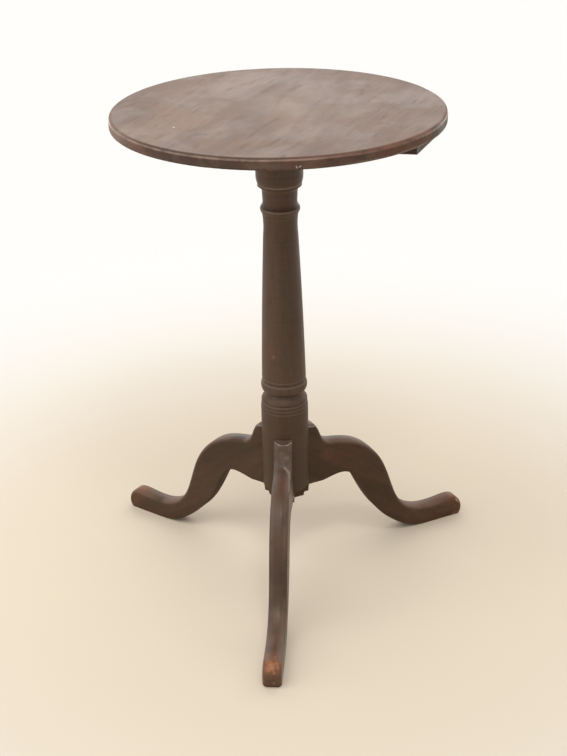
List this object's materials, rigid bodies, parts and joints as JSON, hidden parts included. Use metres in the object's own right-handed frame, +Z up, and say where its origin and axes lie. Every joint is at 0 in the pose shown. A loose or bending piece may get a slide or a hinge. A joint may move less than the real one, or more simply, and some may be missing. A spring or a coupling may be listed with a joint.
{
  "type": "wine table",
  "caption": "Tripod wine table: a round fixed top on a turned baluster column, with cabriole legs that slide into dovetail sockets in the column's drum.",
  "frame": {"origin": "on the floor, under the column's axis", "axes": "+Z up along the column's axis, -Y along the front leg, +X to the right of someone who faces the front leg"},
  "size_m": [0.5296, 0.5169, 0.69],
  "materials": {
    "top_wood": "dark stained and waxed, satin",
    "cleat_wood": "dark stained, dull",
    "column_wood": "dark stained and waxed, satin",
    "leg_wood": "dark stained and waxed, worn at the toes",
    "wedge_wood": "bare",
    "screw_steel": "darkened with age"
  },
  "bodies": {
    "root": {"top_board": "top_wood", "cleat": "cleat_wood", "cleat_screws": "screw_steel", "column": "column_wood", "tenon_wedge": "wedge_wood", "leg_right": "leg_wood", "leg_left": "leg_wood", "leg_front": "leg_wood"}
  },
  "joints": []
}
